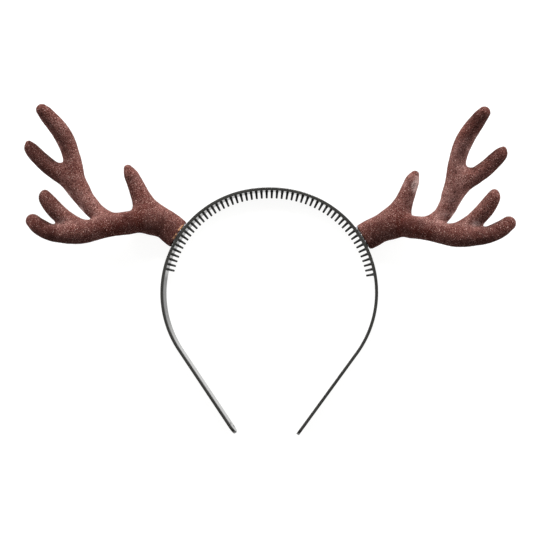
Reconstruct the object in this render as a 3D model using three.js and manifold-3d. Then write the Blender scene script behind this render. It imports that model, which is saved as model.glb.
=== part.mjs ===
// Reindeer-antler headband: a sprung, toothed plastic hair band with a pair of
// flocked antlers glued to it. It lies on the back edge of the band.
// Millimetres. +X across the head, +Y from the head up to the crown of the band,
// +Z from the back edge of the band to the front.
import * as THREE from 'three';
import { mergeVertices } from 'three/addons/utils/BufferGeometryUtils.js';
import Module from 'manifold-3d';

const wasm = await Module();
wasm.setup();

// ---------------------------------------------------------------- sizes
// Hair band: outer outline of a strip, from the middle of the crown down one
// side, as arcs and a straight leg that each run on from the one before.
const BAND_WIDTH = 10; // back edge to front edge
const BAND_THICK = 1.9;
const BAND_EDGE = 0.45; // rounding of the long edges
const CROWN_TOP = 50.1; // outer face of the crown's middle, on the Y axis
const BAND_ARCS = [
  { name: 'crown', radius: 74.9, turn: 10.2 },
  { name: 'shoulder', radius: 64.8, turn: 28.7 },
  { name: 'side', radius: 62.7, turn: 86.4 },
];
const LEG_LENGTH = 60.4;
const ARC_STEP = 3.9; // degrees a facet of the arcs
const LEG_END_FLAT = 1.6; // half width left at the very end of a leg

// Comb teeth, round pins in one row along the inner face.
const TOOTH_COUNT = 55;
const TOOTH_PITCH = 3.29; // along the outer outline
const TOOTH_ROW_SHIFT = 1.0; // middle of the row from the middle of the crown
const TOOTH_LENGTH = 4.45;
const TOOTH_ROOT_RADIUS = 0.66;
const TOOTH_TIP_RADIUS = 0.5;
const TOOTH_SIDES = 8;
const TOOTH_SINK = 0.6; // root inside the strip

// Two shallow marks on the inner face of each leg, from its end and off its middle line.
const MARK_RADIUS = 0.45;
const MARK_DEPTH = 0.35;
const MARKS = [
  { fromEnd: 6.6, off: 1.6 },
  { fromEnd: 4.0, off: -1.6 },
];

// Antler seats: where the root meets the band, how each antler is turned on it
// (degrees about X, Y and Z), and its size beside the rows below. The left
// antler is the mirrored moulding, a little larger. second and rear are the
// lengths of those tines beside the rows, and drop is how far the root's end hangs.
const SEATS = {
  right: { x: 58.5, y: 20.1, z: 8.5, turnX: 0, turnY: 0, turnZ: 0, size: 1, second: 0.98, rear: 1.04, drop: -1.6 },
  left: { x: -56.0, y: 22.2, z: 9.2, turnX: 0.3, turnY: -9.7, turnZ: 0.7, size: 1.07, second: 1.07, rear: 0.96, drop: 1.7 },
};
const ROOT_CLEARANCE = 1.0; // root face to the outer face of the band

// Antler branches, from the seat of the right antler: out (+X), up (+Y),
// fwd (+Z), and the radius there. The first row of a branch lies inside the
// beam it grows from, and its end is rounded. Where a branch is flattened front
// to back, deep is that radius as a share of the other. The left antler's upper
// fork is bent a little: left is how much further out its row lies.
const BEAM = [
  { out: -4.0, up: -2.6, fwd: -2.9, radius: 7.7, deep: 0.62 },
  { out: 2.3, up: 1.4, fwd: -2.6, radius: 8.5, deep: 0.60 },
  { out: 9.1, up: 5.9, fwd: -1.1, radius: 8.2, deep: 0.66 },
  { out: 16.2, up: 8.6, fwd: 1.7, radius: 8.6, deep: 0.82 },
  { out: 23.9, up: 6.3, fwd: 6.3, radius: 6.6 },
  { out: 37.4, up: 2.6, fwd: 15.0, radius: 5.8 },
  { out: 51.5, up: -0.4, fwd: 19.4, radius: 6.4 },
  { out: 66.7, up: -0.4, fwd: 21.0, radius: 5.0 },
  { out: 75.4, up: 3.0, fwd: 20.6, radius: 4.8 },
  { out: 80.6, up: 6.7, fwd: 20.0, radius: 4.1 },
];
const BROW_TINE = [
  { out: 14.5, up: 6.1, fwd: 1.1, radius: 6.5, deep: 0.86 },
  { out: 18.2, up: 12.7, fwd: 1.2, radius: 7.1, deep: 0.86 },
  { out: 22.0, up: 21.3, fwd: 1.9, radius: 5.4 },
  { out: 25.4, up: 30.0, fwd: 3.7, radius: 4.5 },
  { out: 26.6, up: 33.1, fwd: 5.1, radius: 4.1 },
  { out: 28.2, up: 36.7, fwd: 5.9, radius: 2.5 },
];
const UPPER_BEAM = [
  { out: 27.0, up: 5.4, fwd: 8.2, radius: 5.0 },
  { out: 35.4, up: 6.1, fwd: 11.2, radius: 5.2, left: 0.2 },
  { out: 42.7, up: 11.0, fwd: 12.8, radius: 4.9, left: 0.8 },
  { out: 46.5, up: 16.4, fwd: 14.0, radius: 5.3, left: 2.2 },
  { out: 48.6, up: 21.7, fwd: 15.4, radius: 5.4, left: 3.8 },
  { out: 50.9, up: 28.9, fwd: 17.0, radius: 6.1, left: 4.9 },
  { out: 51.7, up: 42.4, fwd: 20.4, radius: 4.9, left: 4.7 },
  { out: 55.5, up: 53.7, fwd: 25.6, radius: 5.1, left: 3.5 },
  { out: 62.1, up: 63.4, fwd: 32.4, radius: 4.4, left: 2.4 },
  { out: 65.1, up: 66.9, fwd: 36.0, radius: 3.4, left: 1.7 },
];
const SECOND_TINE = [
  { out: 49.3, up: 23.4, fwd: 14.6, radius: 4.9, left: 4.4 },
  { out: 52.5, up: 27.7, fwd: 16.0, radius: 5.2, left: 4.6 },
  { out: 57.2, up: 32.4, fwd: 17.4, radius: 6.1, left: 4.5 },
  { out: 62.7, up: 34.6, fwd: 19.0, radius: 4.9, left: 3.9 },
  { out: 68.6, up: 38.8, fwd: 21.2, radius: 4.6, left: 3.1 },
  { out: 75.3, up: 45.2, fwd: 24.4, radius: 4.0, left: 2.0 },
  { out: 77.3, up: 48.1, fwd: 26.2, radius: 2.1, left: 0.9 },
];
const REAR_TINE = [
  { out: 47.2, up: 0.8, fwd: 15.8, radius: 4.6 },
  { out: 53.8, up: 3.2, fwd: 17.1, radius: 5.0 },
  { out: 59.5, up: 6.8, fwd: 19.0, radius: 4.9 },
  { out: 64.0, up: 10.9, fwd: 21.8, radius: 4.9 },
  { out: 67.1, up: 14.7, fwd: 24.0, radius: 4.8 },
  { out: 70.2, up: 19.6, fwd: 26.2, radius: 4.0 },
  { out: 70.8, up: 21.8, fwd: 26.4, radius: 2.8 },
];
const BRANCH_SIDES = 14;
const FACET_ROUNDING = 1.017; // rings drawn out so that their facets keep the girth
const RINGS_PER_ROW = 2;

// Glue pads: a lens of set hot melt on the outer face of the band, under each root.
const GLUE_GAP = 0.3;
const GLUE_THICK = 0.4;
const GLUE_ALONG = 8.6; // half length along the band
const GLUE_ACROSS = 4.3; // half width, back to front
const GLUE_SIDES = 20;
const GLUE_RINGS = 4;
const GLUE_Z = 5.4;

// ---------------------------------------------------------------- helpers
const rad = THREE.MathUtils.degToRad;

// A closed skin through rings of equal count, with a point at each end.
function loft(rings, first, last) {
  const n = rings[0].length;
  const pts = [first, ...rings.flat(), last];
  const at = (i, j) => 1 + i * n + (j % n);
  const index = [];
  for (let j = 0; j < n; j++) {
    index.push(0, at(0, j + 1), at(0, j));
    index.push(pts.length - 1, at(rings.length - 1, j), at(rings.length - 1, j + 1));
    for (let i = 0; i + 1 < rings.length; i++) {
      index.push(at(i, j), at(i, j + 1), at(i + 1, j + 1));
      index.push(at(i, j), at(i + 1, j + 1), at(i + 1, j));
    }
  }
  const geometry = new THREE.BufferGeometry().setFromPoints(pts);
  geometry.setIndex(index);
  return facedOut(geometry);
}

// Turns every face over if the skin encloses a negative volume.
function facedOut(geometry) {
  const p = geometry.getAttribute('position');
  const i = geometry.getIndex().array;
  const [a, b, c] = [new THREE.Vector3(), new THREE.Vector3(), new THREE.Vector3()];
  let volume = 0;
  for (let k = 0; k < i.length; k += 3) {
    a.fromBufferAttribute(p, i[k]);
    b.fromBufferAttribute(p, i[k + 1]);
    c.fromBufferAttribute(p, i[k + 2]);
    volume += a.dot(b.cross(c)) / 6;
  }
  if (volume < 0) for (let k = 0; k < i.length; k += 3) [i[k], i[k + 1]] = [i[k + 1], i[k]];
  return geometry;
}

function solid(geometry) {
  const bare = geometry.clone();
  bare.deleteAttribute('normal');
  bare.deleteAttribute('uv');
  const merged = mergeVertices(bare, 1e-4);
  return new wasm.Manifold(
    new wasm.Mesh({
      numProp: 3,
      vertProperties: new Float32Array(merged.getAttribute('position').array),
      triVerts: new Uint32Array(merged.getIndex().array),
    }),
  );
}

function geometryOf(body) {
  const { vertProperties, triVerts } = body.getMesh();
  const geometry = new THREE.BufferGeometry();
  geometry.setAttribute('position', new THREE.BufferAttribute(new Float32Array(vertProperties), 3));
  geometry.setIndex(new THREE.BufferAttribute(new Uint32Array(triVerts), 1));
  geometry.computeVertexNormals();
  return geometry;
}

const union = (bodies) => bodies.reduce((whole, body) => whole.add(body));

// ---------------------------------------------------------------- band
// The arcs of one side with their centres, where each begins, and its length.
const arcs = [];
{
  let turned = 0;
  let begin = 0;
  const end = new THREE.Vector2(0, CROWN_TOP);
  for (const { name, radius, turn } of BAND_ARCS) {
    const normal = new THREE.Vector2(Math.sin(turned), Math.cos(turned));
    const centre = end.clone().addScaledVector(normal, -radius);
    const length = radius * rad(turn);
    arcs.push({ name, radius, centre, turned, begin, length });
    turned += rad(turn);
    begin += length;
    end.set(Math.sin(turned), Math.cos(turned)).multiplyScalar(radius).add(centre);
  }
}
const sideArc = arcs.find(({ name }) => name === 'side');
const arcRun = sideArc.begin + sideArc.length;
const halfRun = arcRun + LEG_LENGTH;

// Point and outward normal of the outer outline, a run s from the crown's middle.
function outline(s) {
  const side = s < 0 ? -1 : 1;
  const run = Math.abs(s);
  const arc = arcs.findLast(({ begin }) => run >= begin);
  const turn = arc.turned + Math.min(run - arc.begin, arc.length) / arc.radius;
  const normal = new THREE.Vector2(Math.sin(turn), Math.cos(turn));
  const along = new THREE.Vector2(Math.cos(turn), -Math.sin(turn));
  const point = arc.centre.clone().addScaledVector(normal, arc.radius);
  point.addScaledVector(along, Math.max(0, run - arcRun));
  point.x *= side;
  normal.x *= side;
  return { point, normal };
}

// Rounded rectangle of the strip: depth inside the outer face and height off mid width.
function stripSection(halfWidth) {
  const corners = [
    { depth: BAND_EDGE, high: halfWidth - BAND_EDGE, from: 90 },
    { depth: BAND_THICK - BAND_EDGE, high: halfWidth - BAND_EDGE, from: 0 },
    { depth: BAND_THICK - BAND_EDGE, high: BAND_EDGE - halfWidth, from: -90 },
    { depth: BAND_EDGE, high: BAND_EDGE - halfWidth, from: -180 },
  ];
  return corners.flatMap(({ depth, high, from }) =>
    [90, 45, 0].map((step) => {
      const angle = rad(from + step);
      return { depth: depth + BAND_EDGE * Math.cos(angle), high: high + BAND_EDGE * Math.sin(angle) };
    }),
  );
}

function strip() {
  const runs = [];
  const arcSteps = Math.ceil(BAND_ARCS.reduce((sum, { turn }) => sum + turn, 0) / ARC_STEP);
  for (let k = 0; k <= arcSteps; k++) runs.push((arcRun * k) / arcSteps);
  runs.push(halfRun - LEG_LENGTH / 2);
  const half = BAND_WIDTH / 2;
  const reach = half - Math.sqrt(half * half - LEG_END_FLAT * LEG_END_FLAT);
  for (const part of [1, 0.62, 0.34, 0.14, 0.04, 0]) runs.push(halfRun - part * half);
  const halfWidth = (run) => {
    const left = Math.min(halfRun - run + reach, half);
    return Math.max(LEG_END_FLAT, Math.sqrt(half * half - (half - left) ** 2));
  };
  const stations = [...runs.slice(1).reverse().map((run) => -run), ...runs];
  const rings = stations.map((s) => {
    const { point, normal } = outline(s);
    return stripSection(halfWidth(Math.abs(s))).map(
      ({ depth, high }) =>
        new THREE.Vector3(point.x - normal.x * depth, point.y - normal.y * depth, half + high),
    );
  });
  const middle = (ring) => ring.reduce((sum, p) => sum.add(p), new THREE.Vector3()).divideScalar(ring.length);
  return loft(rings, middle(rings[0]), middle(rings[rings.length - 1]));
}

// A round pin whose axis runs from the inner face into the hollow of the band.
function placedOnInside(profile, sides, s, height, depthAtOrigin) {
  const { point, normal } = outline(s);
  const pin = new THREE.LatheGeometry(profile, sides);
  const inward = new THREE.Vector3(-normal.x, -normal.y, 0);
  pin.applyQuaternion(new THREE.Quaternion().setFromUnitVectors(new THREE.Vector3(0, 1, 0), inward));
  pin.translate(point.x + inward.x * depthAtOrigin, point.y + inward.y * depthAtOrigin, height);
  return pin;
}

function hairBand() {
  let body = solid(strip());
  const tip = TOOTH_LENGTH - TOOTH_TIP_RADIUS;
  const tooth = [
    new THREE.Vector2(0, -TOOTH_SINK),
    new THREE.Vector2(TOOTH_ROOT_RADIUS, -TOOTH_SINK),
    new THREE.Vector2(TOOTH_TIP_RADIUS, tip),
    new THREE.Vector2(TOOTH_TIP_RADIUS * 0.75, tip + TOOTH_TIP_RADIUS * 0.66),
    new THREE.Vector2(0, TOOTH_LENGTH),
  ];
  for (let k = 0; k < TOOTH_COUNT; k++) {
    const s = TOOTH_ROW_SHIFT + (k - (TOOTH_COUNT - 1) / 2) * TOOTH_PITCH;
    body = body.add(solid(placedOnInside(tooth, TOOTH_SIDES, s, BAND_WIDTH / 2, BAND_THICK)));
  }
  const mark = [
    new THREE.Vector2(0, -MARK_DEPTH),
    new THREE.Vector2(MARK_RADIUS, -MARK_DEPTH),
    new THREE.Vector2(MARK_RADIUS, 1),
    new THREE.Vector2(0, 1),
  ];
  for (const end of [-1, 1]) {
    for (const { fromEnd, off } of MARKS) {
      const pit = placedOnInside(mark, TOOTH_SIDES, end * (halfRun - fromEnd), BAND_WIDTH / 2 + off, BAND_THICK);
      body = body.subtract(solid(pit));
    }
  }
  return geometryOf(body);
}

// ---------------------------------------------------------------- antlers
// A branch: rings square to a smooth line through its rows, and a rounded end.
function branch(rows) {
  const line = new THREE.CatmullRomCurve3(
    rows.map((row) => new THREE.Vector3(row.out, row.up, row.fwd)),
    false,
    'catmullrom',
    0.5,
  );
  const girth = new THREE.SplineCurve(rows.map((row, k) => new THREE.Vector2(k, row.radius)));
  const flatness = new THREE.SplineCurve(rows.map((row, k) => new THREE.Vector2(k, row.deep ?? 1)));
  const ring = (centre, tangent, radius, deep) => {
    const front = new THREE.Vector3(0, 0, 1).addScaledVector(tangent, -tangent.z).normalize();
    const side = new THREE.Vector3().crossVectors(front, tangent);
    return Array.from({ length: BRANCH_SIDES }, (_, k) => {
      const angle = (2 * Math.PI * k) / BRANCH_SIDES;
      return centre
        .clone()
        .addScaledVector(side, FACET_ROUNDING * radius * Math.cos(angle))
        .addScaledVector(front, FACET_ROUNDING * radius * deep * Math.sin(angle));
    });
  };
  const steps = (rows.length - 1) * RINGS_PER_ROW;
  const rings = [];
  for (let k = 0; k <= steps; k++) {
    const t = k / steps;
    rings.push(ring(line.getPoint(t), line.getTangent(t), girth.getPoint(t).y, flatness.getPoint(t).y));
  }
  const end = line.getPoint(1);
  const heading = line.getTangent(1);
  const last = rows[rows.length - 1].radius;
  for (const angle of [30, 58]) {
    const centre = end.clone().addScaledVector(heading, last * Math.sin(rad(angle)));
    rings.push(ring(centre, heading, last * Math.cos(rad(angle)), 1));
  }
  return loft(rings, line.getPoint(0), end.clone().addScaledVector(heading, last));
}

// Rows of a tine made longer or shorter from its first row.
function drawn(rows, length) {
  const [first] = rows;
  const along = (key, row) => first[key] + (row[key] - first[key]) * length;
  return rows.map((row) => ({ ...row, out: along('out', row), up: along('up', row), fwd: along('fwd', row) }));
}

// The body that clears the band under a root: everything inside the side arc and its gap.
function bandClearance(side) {
  const radius = sideArc.radius + ROOT_CLEARANCE;
  const drum = new THREE.CylinderGeometry(radius, radius, 120, 120);
  drum.rotateX(Math.PI / 2);
  drum.translate(side * sideArc.centre.x, sideArc.centre.y, 20);
  return solid(drum);
}

function antler(side) {
  const seat = side < 0 ? SEATS.left : SEATS.right;
  const place = new THREE.Matrix4().makeRotationFromEuler(
    new THREE.Euler(rad(seat.turnX), rad(seat.turnY), rad(seat.turnZ)),
  );
  place.setPosition(seat.x, seat.y, seat.z);
  const hang = [seat.drop, seat.drop / 2];
  const beam = BEAM.map((row, k) => ({ ...row, up: row.up - (hang[k] ?? 0) }));
  const bent = (rows) => rows.map((row) => ({ ...row, out: row.out + (side < 0 ? row.left ?? 0 : 0) }));
  const tines = [drawn(bent(SECOND_TINE), seat.second), drawn(REAR_TINE, seat.rear)];
  const branches = [beam, BROW_TINE, bent(UPPER_BEAM), ...tines].map((rows) => {
    const skin = branch(rows.map((row) => ({ ...row, out: side * row.out })));
    skin.scale(seat.size, seat.size, seat.size);
    return solid(skin.applyMatrix4(place));
  });
  return geometryOf(union(branches).subtract(bandClearance(side)));
}

// ---------------------------------------------------------------- glue
// A lens on the outer face of the side arc: thin at its rim, full in its middle.
function gluePad(side) {
  const seat = side < 0 ? SEATS.left : SEATS.right;
  const { centre, radius: bandRadius } = sideArc;
  const turn = Math.atan2(side * seat.x - centre.x, seat.y - centre.y);
  const floor = bandRadius + GLUE_GAP;
  const spot = (share, angle, thick) => {
    const bend = turn + (share * GLUE_ALONG * Math.cos(angle)) / bandRadius;
    const radius = floor + thick;
    return new THREE.Vector3(
      side * (centre.x + radius * Math.sin(bend)),
      centre.y + radius * Math.cos(bend),
      GLUE_Z + share * GLUE_ACROSS * Math.sin(angle),
    );
  };
  const ringAt = (share, thick) =>
    Array.from({ length: GLUE_SIDES }, (_, k) => spot(share, (2 * Math.PI * k) / GLUE_SIDES, thick));
  const rings = [];
  for (let k = 1; k <= GLUE_RINGS; k++) rings.push(ringAt(k / GLUE_RINGS, 0));
  for (let k = GLUE_RINGS; k >= 1; k--) {
    const share = (k / GLUE_RINGS) * 0.97;
    rings.push(ringAt(share, 0.15 + (GLUE_THICK - 0.15) * Math.sqrt(1 - share * share)));
  }
  return loft(rings, spot(0, 0, 0), spot(0, 0, GLUE_THICK));
}

// ---------------------------------------------------------------- assembly
const plastic = { color: 0x1c1c1b, roughness: 0.32, metalness: 0 };
const flock = { color: 0x6a463f, roughness: 0.95, metalness: 0 };
const hotMelt = { color: 0xb9a58c, roughness: 0.3, metalness: 0 };

function piece(name, geometry, look) {
  const mesh = new THREE.Mesh(geometry, new THREE.MeshStandardMaterial(look));
  mesh.name = name;
  return mesh;
}

const headband = new THREE.Group();
headband.add(piece('hair_band', hairBand(), plastic));
headband.add(piece('antler_left', antler(-1), flock));
headband.add(piece('antler_right', antler(1), flock));
headband.add(piece('glue_left', gluePad(-1), hotMelt));
headband.add(piece('glue_right', gluePad(1), hotMelt));

// The origin is the middle of the box round the object, on the floor it lies on.
const box = new THREE.Box3().setFromObject(headband);
const centre = box.getCenter(new THREE.Vector3());
headband.position.set(-centre.x, -centre.y, -box.min.z);
headband.updateMatrixWorld(true);

export default headband;
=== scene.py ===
import math

import bpy
import numpy as np
from mathutils import Matrix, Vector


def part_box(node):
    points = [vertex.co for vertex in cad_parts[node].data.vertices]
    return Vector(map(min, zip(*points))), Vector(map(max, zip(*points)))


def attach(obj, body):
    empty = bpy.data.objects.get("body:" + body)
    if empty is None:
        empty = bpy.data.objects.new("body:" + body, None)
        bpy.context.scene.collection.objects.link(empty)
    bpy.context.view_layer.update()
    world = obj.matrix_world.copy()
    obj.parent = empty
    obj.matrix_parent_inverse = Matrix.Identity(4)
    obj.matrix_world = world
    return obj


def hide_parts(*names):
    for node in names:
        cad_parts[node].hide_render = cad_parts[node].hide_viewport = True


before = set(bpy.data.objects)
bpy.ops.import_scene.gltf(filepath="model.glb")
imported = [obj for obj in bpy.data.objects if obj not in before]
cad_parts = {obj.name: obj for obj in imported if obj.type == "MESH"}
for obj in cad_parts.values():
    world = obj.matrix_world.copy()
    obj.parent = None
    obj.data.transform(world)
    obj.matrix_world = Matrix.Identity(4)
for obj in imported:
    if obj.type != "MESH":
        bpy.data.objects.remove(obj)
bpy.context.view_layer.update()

# ------------------------------------------------------------------ sizes, mm
# The object's own frame, before its box is centred: x = 0 on the band's middle,
# z = 0 on the band's back edge.
BAND_WIDTH = 10.0
BAND_THICK = 1.9
BAND_EDGE = 0.45
CROWN_TOP = 50.1
BAND_ARCS = ((74.9, 10.2), (64.8, 28.7), (62.7, 86.4))  # radius, turn
LEG_LENGTH = 60.4

TOOTH_COUNT = 55
TOOTH_PITCH = 3.29
TOOTH_ROW_SHIFT = 1.0
TOOTH_LENGTH = 4.45
TOOTH_ROOT_RADIUS = 0.66
TOOTH_TIP_RADIUS = 0.62
TOOTH_TIP_HEIGHT = 0.34  # of the blunt round end

MARK_RADIUS = 0.85
MARK_DEPTH = 0.45
MARKS = ((6.6, 1.6), (4.0, -1.6))  # from the leg's end, off its middle line

SEATS = {  # x, y, z, turns about X, Y, Z, size, second tine, rear tine, drop of the root's end
    1: (58.5, 20.1, 8.5, 0.0, 0.0, 0.0, 1.0, 0.98, 1.04, -1.6),
    -1: (-56.0, 22.2, 9.2, 0.3, -9.7, 0.7, 1.07, 1.07, 0.96, 1.7),
}
ROOT_GAP = 0.4  # root of the skins to the band's outer face

# out, up, fwd, radius, depth as a share of the radius, from the seat of the right
# antler, and how much further out the row lies on the left one, whose fork is bent
BEAM = (
    (-4.0, -2.6, -2.9, 7.7, 0.62, 0.0), (2.3, 1.4, -2.6, 8.5, 0.60, 0.0), (9.1, 5.9, -1.1, 8.2, 0.66, 0.0),
    (16.2, 8.6, 1.7, 8.6, 0.82, 0.0), (23.9, 6.3, 6.3, 6.6, 1.00, 0.0), (37.4, 2.6, 15.0, 5.8, 1.00, 0.0),
    (51.5, -0.4, 19.4, 6.4, 1.00, 0.0), (66.7, -0.4, 21.0, 5.0, 1.00, 0.0), (75.4, 3.0, 20.6, 4.8, 1.00, 0.0),
    (80.6, 6.7, 20.0, 4.1, 1.00, 0.0),
)
BROW_TINE = (
    (14.5, 6.1, 1.1, 6.5, 0.86, 0.0), (18.2, 12.7, 1.2, 7.1, 0.86, 0.0), (22.0, 21.3, 1.9, 5.4, 1.00, 0.0),
    (25.4, 30.0, 3.7, 4.5, 1.00, 0.0), (26.6, 33.1, 5.1, 4.1, 1.00, 0.0), (28.2, 36.7, 5.9, 2.5, 1.00, 0.0),
)
UPPER_BEAM = (
    (27.0, 5.4, 8.2, 5.0, 1.00, 0.0), (35.4, 6.1, 11.2, 5.2, 1.00, 0.2), (42.7, 11.0, 12.8, 4.9, 1.00, 0.8),
    (46.5, 16.4, 14.0, 5.3, 1.00, 2.2), (48.6, 21.7, 15.4, 5.4, 1.00, 3.8), (50.9, 28.9, 17.0, 6.1, 1.00, 4.9),
    (51.7, 42.4, 20.4, 4.9, 1.00, 4.7), (55.5, 53.7, 25.6, 5.1, 1.00, 3.5), (62.1, 63.4, 32.4, 4.4, 1.00, 2.4),
    (65.1, 66.9, 36.0, 3.4, 1.00, 1.7),
)
SECOND_TINE = (
    (49.3, 23.4, 14.6, 4.9, 1.00, 4.4), (52.5, 27.7, 16.0, 5.2, 1.00, 4.6), (57.2, 32.4, 17.4, 6.1, 1.00, 4.5),
    (62.7, 34.6, 19.0, 4.9, 1.00, 3.9), (68.6, 38.8, 21.2, 4.6, 1.00, 3.1), (75.3, 45.2, 24.4, 4.0, 1.00, 2.0),
    (77.3, 48.1, 26.2, 2.1, 1.00, 0.9),
)
REAR_TINE = (
    (47.2, 0.8, 15.8, 4.6, 1.00, 0.0), (53.8, 3.2, 17.1, 5.0, 1.00, 0.0), (59.5, 6.8, 19.0, 4.9, 1.00, 0.0),
    (64.0, 10.9, 21.8, 4.9, 1.00, 0.0), (67.1, 14.7, 24.0, 4.8, 1.00, 0.0), (70.2, 19.6, 26.2, 4.0, 1.00, 0.0),
    (70.8, 21.8, 26.4, 2.8, 1.00, 0.0),
)

# Where the pile is made paler, partly dust and partly painted light on the sides the light falls on,
# and where painted shade darkens it: out, up, fwd, reach, strength on the right antler, strength on the left one.
DUST_AND_LIGHT_SPOTS = (
    (35.0, 9.5, 15.5, 7.0, 0.58, 0.36),
    (42.0, 10.5, 16.5, 8.5, 0.60, 0.56),
    (46.0, 16.5, 18.5, 9.0, 0.74, 0.44),
    (49.0, 23.5, 20.5, 8.0, 0.62, 0.36),
    (51.0, 31.5, 22.5, 7.5, 0.62, 0.16),
    (53.0, 41.0, 24.5, 7.0, 0.58, 0.20),
    (51.0, 14.5, 15.5, 6.5, 0.95, 0.84),
    (54.5, 22.5, 17.0, 6.5, 0.90, 0.68),
    (56.0, 41.5, 22.0, 6.5, 0.72, 0.24),
    (59.0, 52.0, 28.5, 7.0, 0.60, 0.46),
    (47.5, 6.3, 21.0, 4.0, 0.46, 0.46),
    (52.0, 6.2, 22.5, 4.0, 0.36, 0.40),
    (57.0, 5.8, 23.0, 4.5, 0.52, 0.50),
    (62.0, 5.4, 23.5, 4.0, 0.80, 0.75),
    (66.0, 4.9, 24.0, 4.0, 0.60, 0.55),
    (58.0, 8.5, 21.0, 6.0, 0.38, 0.34),
    (64.0, 12.0, 26.0, 5.0, 0.34, 0.08),
    (62.0, 36.0, 23.0, 6.0, 0.45, 0.12),
    (66.0, 42.0, 24.0, 5.0, 0.34, 0.00),
    (53.8, 48.0, 27.5, 6.5, 0.74, 0.12),
    (47.5, 29.0, 20.0, 6.0, 0.44, 0.05),
    (74.0, 8.0, 23.0, 4.5, 0.32, 0.28),
    (26.4, 22.0, 5.6, 3.6, 0.75, 0.12),
    (28.8, 26.3, 5.9, 4.2, 1.10, 0.10),
    (29.5, 30.3, 6.8, 4.6, 1.12, 0.08),
    (30.2, 34.3, 7.8, 3.6, 0.84, 0.08),
    (21.8, 31.5, 6.4, 3.2, 0.85, 0.10),
    (24.8, 36.0, 8.6, 3.2, 0.50, 0.10),
    (6.0, 12.0, 3.0, 7.0, 0.34, 0.26),
    (57.0, 59.0, 33.0, 5.0, 0.10, 0.35),
    (66.5, 61.0, 34.0, 6.0, 0.16, 0.42),
)
# painted shade: darker tips, undersides and the base below the brow tine
PAINTED_SHADE_SPOTS = (
    (63.0, 65.0, 37.5, 10.0, 0.50, 0.40),
    (58.5, 65.0, 35.0, 6.0, 0.84, 0.36),
    (57.0, 57.0, 31.0, 8.0, 0.12, 0.26),
    (52.0, 54.0, 28.0, 6.0, 0.06, 0.50),
    (54.0, 29.0, 22.5, 6.0, 0.00, 0.32),
    (76.0, 45.0, 27.0, 8.0, 0.60, 0.80),
    (77.0, 42.0, 24.0, 6.0, 0.86, 0.86),
    (69.0, 38.0, 25.0, 7.0, 0.08, 0.84),
    (62.0, 33.0, 23.0, 6.0, 0.00, 0.58),
    (70.5, 20.0, 29.0, 6.5, 0.42, 0.90),
    (66.0, 20.5, 28.0, 5.0, 0.06, 0.75),
    (63.0, 14.5, 26.0, 5.5, 0.00, 0.60),
    (24.0, 25.0, 6.5, 8.0, 0.00, 0.24),
    (2.3, 1.0, 3.5, 6.5, 0.64, 0.72),
    (9.0, 5.0, 5.5, 6.5, 0.56, 0.74),
    (14.5, 5.5, 8.0, 6.0, 0.56, 0.72),
    (16.5, 15.0, 7.5, 7.0, 0.34, 0.42),
    (20.0, 7.5, 11.5, 6.0, 0.74, 0.74),
    (24.0, 6.0, 13.5, 6.5, 0.95, 0.92),
    (30.5, 4.5, 17.0, 6.5, 0.80, 0.72),
    (37.4, 2.4, 20.0, 7.0, 0.66, 0.60),
    (44.0, 2.0, 21.0, 7.0, 0.46, 0.46),
    (51.5, 1.0, 23.0, 7.0, 0.36, 0.40),
    (58.0, 1.0, 24.0, 7.0, 0.40, 0.46),
    (60.0, -5.0, 22.0, 7.0, 0.52, 0.52),
    (67.0, -0.8, 25.0, 7.0, 0.74, 0.84),
    (70.0, -4.0, 21.0, 7.0, 0.74, 0.78),
    (75.0, 1.5, 24.0, 6.5, 0.62, 0.90),
    (77.5, -0.5, 21.0, 6.0, 0.90, 0.95),
    (80.5, 6.0, 23.0, 5.0, 0.40, 0.48),
)

SKIN_STEP = 0.42  # grid of the antler skins
GLUE_STEP = 0.22
SEED = 20260

lo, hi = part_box("hair_band")
SHIFT = np.array([(lo.x + hi.x) * 500.0, hi.y * 1000.0 - CROWN_TOP, lo.z * 1000.0])


# ------------------------------------------------------------------ helpers
def metres(points):
    return (np.asarray(points, float) + SHIFT) / 1000.0


def mesh_object(name, verts_mm, faces, smooth=True):
    """A mesh of quads or triangles (one array, one count of corners) in the object's frame."""
    verts = metres(verts_mm)
    faces = np.asarray(faces, np.int32)
    n, corners = faces.shape
    mesh = bpy.data.meshes.new(name)
    mesh.vertices.add(len(verts))
    mesh.vertices.foreach_set("co", verts.astype(np.float32).ravel())
    mesh.loops.add(n * corners)
    mesh.loops.foreach_set("vertex_index", faces.ravel())
    mesh.polygons.add(n)
    mesh.polygons.foreach_set("loop_start", np.arange(0, n * corners, corners, dtype=np.int32))
    mesh.update(calc_edges=True)
    mesh.validate()
    if smooth:
        mesh.shade_smooth()
    obj = bpy.data.objects.new(name, mesh)
    bpy.context.scene.collection.objects.link(obj)
    return obj


def lattice(ix, iy, iz, seed):
    """A repeatable random number from -1 to 1 for each whole-number point."""
    h = (ix.astype(np.uint32) * np.uint32(73856093)) ^ (iy.astype(np.uint32) * np.uint32(19349663))
    h ^= (iz.astype(np.uint32) * np.uint32(83492791)) ^ np.uint32(seed * 2654435761 & 0xFFFFFFFF)
    h ^= h >> np.uint32(13)
    h *= np.uint32(1274126177)
    h ^= h >> np.uint32(16)
    h *= np.uint32(2246822519)
    h ^= h >> np.uint32(15)
    return h.astype(np.float64) / 2147483647.5 - 1.0


def soft_noise(points, size, seed):
    """Smooth noise from -1 to 1 with features of about that size."""
    q = np.asarray(points, float) / size + 1000.0
    base = np.floor(q)
    f = q - base
    f = f * f * (3 - 2 * f)
    base = base.astype(np.int64)
    total = np.zeros(len(q))
    for dx in (0, 1):
        for dy in (0, 1):
            for dz in (0, 1):
                w = (
                    (f[:, 0] if dx else 1 - f[:, 0])
                    * (f[:, 1] if dy else 1 - f[:, 1])
                    * (f[:, 2] if dz else 1 - f[:, 2])
                )
                total += w * lattice(base[:, 0] + dx, base[:, 1] + dy, base[:, 2] + dz, seed)
    return total


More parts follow.
